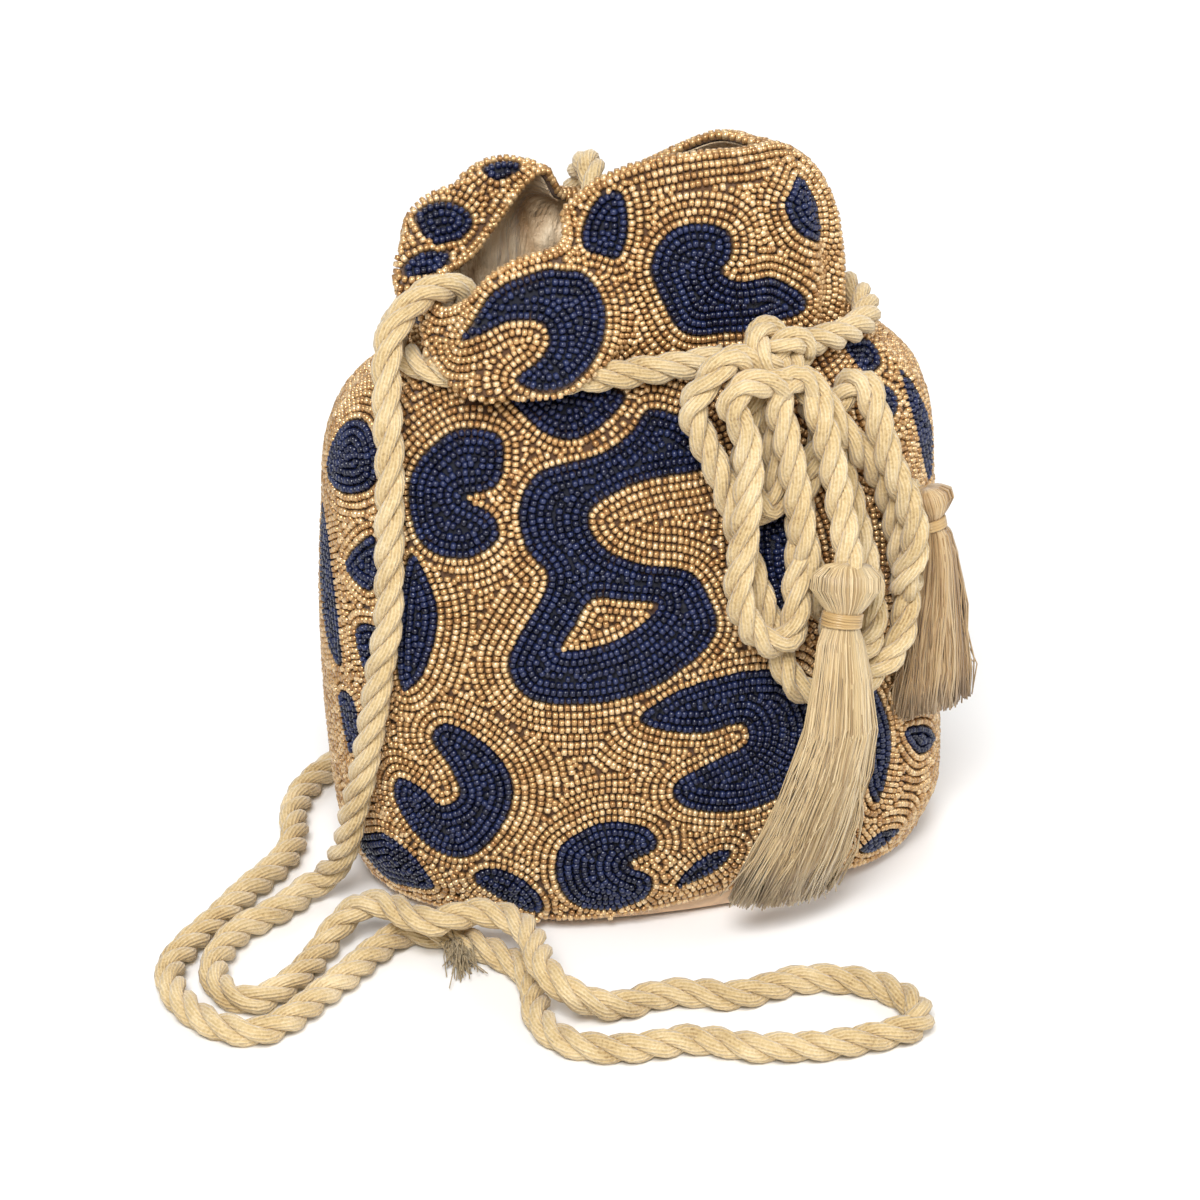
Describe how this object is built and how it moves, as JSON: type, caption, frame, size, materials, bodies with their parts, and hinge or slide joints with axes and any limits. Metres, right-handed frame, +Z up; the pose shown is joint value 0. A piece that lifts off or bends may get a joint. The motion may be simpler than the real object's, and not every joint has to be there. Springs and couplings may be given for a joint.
{
  "type": "drawstring pouch",
  "caption": "Potli bag: a beaded drawstring pouch with an open gathered frill, satin lining, tasselled rope drawstring and rope shoulder strap.",
  "frame": {"origin": "middle of the underside of the base panel, on the floor", "axes": "+Z up, the hank and the front tassel face -Y"},
  "size_m": [0.2209, 0.1971, 0.199],
  "materials": {
    "gold_beads": "gloss",
    "navy_beads": "gloss",
    "satin": "satin",
    "tan_cloth": "matte",
    "rope": "matte",
    "thread": "satin",
    "gold_thread": "satin"
  },
  "bodies": {
    "root": {"base_panel": "tan_cloth", "drawstring": "rope", "drawstring_hank": "rope", "drawstring_knot": "rope", "front_tassel": "thread", "front_tassel_binding": "gold_thread", "lining": "satin", "outer_shell": "gold_beads", "shoulder_strap": "rope", "side_tassel": "thread", "side_tassel_binding": "gold_thread", "spot_back_front_ring": "navy_beads", "spot_back_left_mitten": "navy_beads", "spot_back_low_bean": "navy_beads", "spot_back_low_c": "navy_beads", "spot_back_right_c": "navy_beads", "spot_flap_comma": "navy_beads", "spot_front_kidney": "navy_beads", "spot_front_ring": "navy_beads", "spot_left_bean": "navy_beads", "spot_left_crest": "navy_beads", "spot_left_disc": "navy_beads", "spot_left_disc_upper": "navy_beads", "spot_left_fan": "navy_beads", "spot_left_foot": "navy_beads", "spot_left_half_moon": "navy_beads", "spot_left_low_strip": "navy_beads", "spot_left_mitten": "navy_beads", "spot_left_strip": "navy_beads", "spot_left_wedge": "navy_beads", "spot_lobe_comma": "navy_beads", "spot_lobe_wedge": "navy_beads", "spot_low_bean": "navy_beads", "spot_low_c": "navy_beads", "spot_low_corner": "navy_beads", "spot_low_leaf": "navy_beads", "spot_low_slipper": "navy_beads", "spot_right_c": "navy_beads", "spot_right_dash": "navy_beads", "spot_right_disc": "navy_beads", "spot_right_fan": "navy_beads", "spot_right_leaf": "navy_beads", "spot_right_low": "navy_beads", "spot_right_shoulder": "navy_beads", "spot_right_strip": "navy_beads"}
  },
  "joints": []
}
